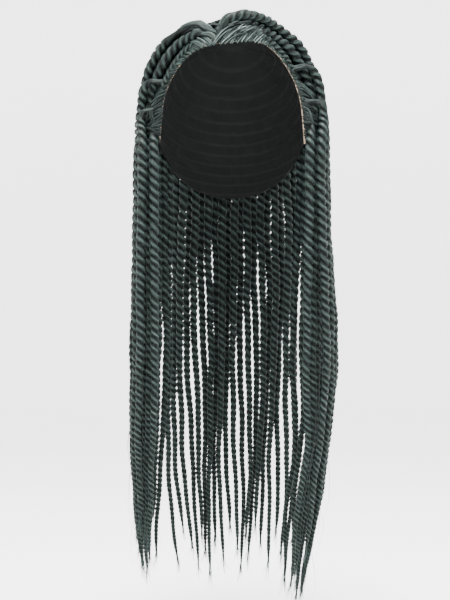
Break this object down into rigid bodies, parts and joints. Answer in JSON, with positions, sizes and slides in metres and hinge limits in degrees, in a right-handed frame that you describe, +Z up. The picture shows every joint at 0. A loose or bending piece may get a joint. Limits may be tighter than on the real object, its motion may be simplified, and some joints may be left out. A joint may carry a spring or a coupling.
{
  "type": "wig",
  "caption": "Long lace-front wig of dark two-strand hair twists, parted beside the middle and hanging free in a bundle at each side of the face and down the back.",
  "frame": {"origin": "the inner top of the cap, where the crown of the head seats", "axes": "+Z up; the wearer's face looks along -Y; +X is the wearer's left"},
  "size_m": [0.2154, 0.174, 0.604],
  "materials": {
    "hair": "off-black synthetic hair twisted in two-strand ropes, soft grey sheen",
    "net": "black stretch net",
    "lace": "thin brown lace"
  },
  "bodies": {
    "root": {"cap": "net", "front_lace": "lace", "left_twist_01": "hair", "left_twist_02": "hair", "left_twist_03": "hair", "left_twist_04": "hair", "left_twist_05": "hair", "left_twist_06": "hair", "left_twist_07": "hair", "left_twist_08": "hair", "left_twist_09": "hair", "left_twist_10": "hair", "left_twist_11": "hair", "left_twist_12": "hair", "left_twist_13": "hair", "left_twist_14": "hair", "left_twist_15": "hair", "left_twist_16": "hair", "left_twist_17": "hair", "right_twist_01": "hair", "right_twist_02": "hair", "right_twist_03": "hair", "right_twist_04": "hair", "right_twist_05": "hair", "right_twist_06": "hair", "right_twist_07": "hair", "right_twist_08": "hair", "right_twist_09": "hair", "right_twist_10": "hair", "right_twist_11": "hair", "right_twist_12": "hair", "right_twist_13": "hair", "right_twist_14": "hair", "right_twist_15": "hair", "right_twist_16": "hair", "right_twist_17": "hair", "rear_twist_01": "hair", "rear_twist_02": "hair", "rear_twist_03": "hair", "rear_twist_04": "hair", "rear_twist_05": "hair", "rear_twist_06": "hair", "rear_twist_07": "hair", "rear_twist_08": "hair", "rear_twist_09": "hair", "rear_twist_10": "hair", "rear_twist_11": "hair", "rear_twist_12": "hair", "rear_twist_13": "hair", "rear_twist_14": "hair", "rear_twist_15": "hair", "rear_twist_16": "hair", "rear_twist_17": "hair", "rear_twist_18": "hair", "rear_twist_19": "hair", "rear_twist_20": "hair"}
  },
  "joints": []
}
